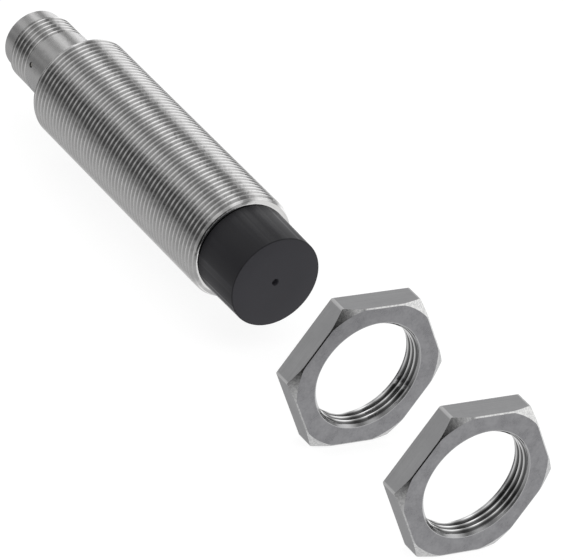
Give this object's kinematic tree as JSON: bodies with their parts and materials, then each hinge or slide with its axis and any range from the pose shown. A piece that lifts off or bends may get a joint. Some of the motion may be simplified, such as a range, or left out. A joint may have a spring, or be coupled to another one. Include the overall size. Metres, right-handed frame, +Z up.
{
  "type": "proximity sensor",
  "caption": "Cylindrical inductive proximity sensor: threaded metal barrel, protruding plastic sensing cap, round plug connector at the rear, and loose hexagon mounting nuts.",
  "frame": {"origin": "on the sensor's axis, in the middle of the threaded barrel, where a bracket or threaded hole holds it", "axes": "+X along the sensor towards its sensing face, +Z up, with a flat of each nut down"},
  "size_m": [0.1343, 0.0278, 0.024],
  "materials": {
    "nickel_plate": "bright nickel plate over brass",
    "satin_nickel": "satin nickel plate over brass",
    "charcoal_plastic": "fine-grained semi-matte moulding",
    "black_plastic": "matte moulding",
    "ferrite": "pressed and ground",
    "copper": "enamelled copper wire",
    "board_resin": "lacquered glass-fibre board",
    "chip_epoxy": "moulded epoxy",
    "chip_ceramic": "fired ceramic",
    "gold_plate": "gold plate over brass",
    "clear_lens": "clear amber moulding",
    "seal_rubber": "moulded nitrile"
  },
  "bodies": {
    "sensor": {"barrel": "nickel_plate", "connector_shell": "nickel_plate", "sensing_cap": "charcoal_plastic", "coil_bobbin": "black_plastic", "core_carrier": "black_plastic", "connector_insert": "black_plastic", "ferrite_core": "ferrite", "coil_winding": "copper", "coil_lead_1": "copper", "coil_lead_2": "copper", "pin_lead_1": "copper", "pin_lead_2": "copper", "pin_lead_3": "copper", "pin_lead_4": "copper", "circuit_board": "board_resin", "oscillator_chip": "chip_epoxy", "output_transistor": "chip_epoxy", "resistor_1": "chip_epoxy", "resistor_2": "chip_epoxy", "capacitor_1": "chip_ceramic", "capacitor_2": "chip_ceramic", "contact_pin_1": "gold_plate", "contact_pin_2": "gold_plate", "contact_pin_3": "gold_plate", "contact_pin_4": "gold_plate", "status_led": "clear_lens", "light_guide": "clear_lens", "shell_seal": "seal_rubber"},
    "rear_nut": {"nut_1": "satin_nickel"},
    "front_nut": {"nut_2": "satin_nickel"}
  },
  "joints": [
    {"name": "rear_nut_travel", "type": "slide", "parent": "sensor", "child": "rear_nut", "axis": [1, 0, 0], "range_m": [-0.083, 0]},
    {"name": "front_nut_travel", "type": "slide", "parent": "rear_nut", "child": "front_nut", "axis": [1, 0, 0], "range_m": [-0.025, 0]}
  ]
}
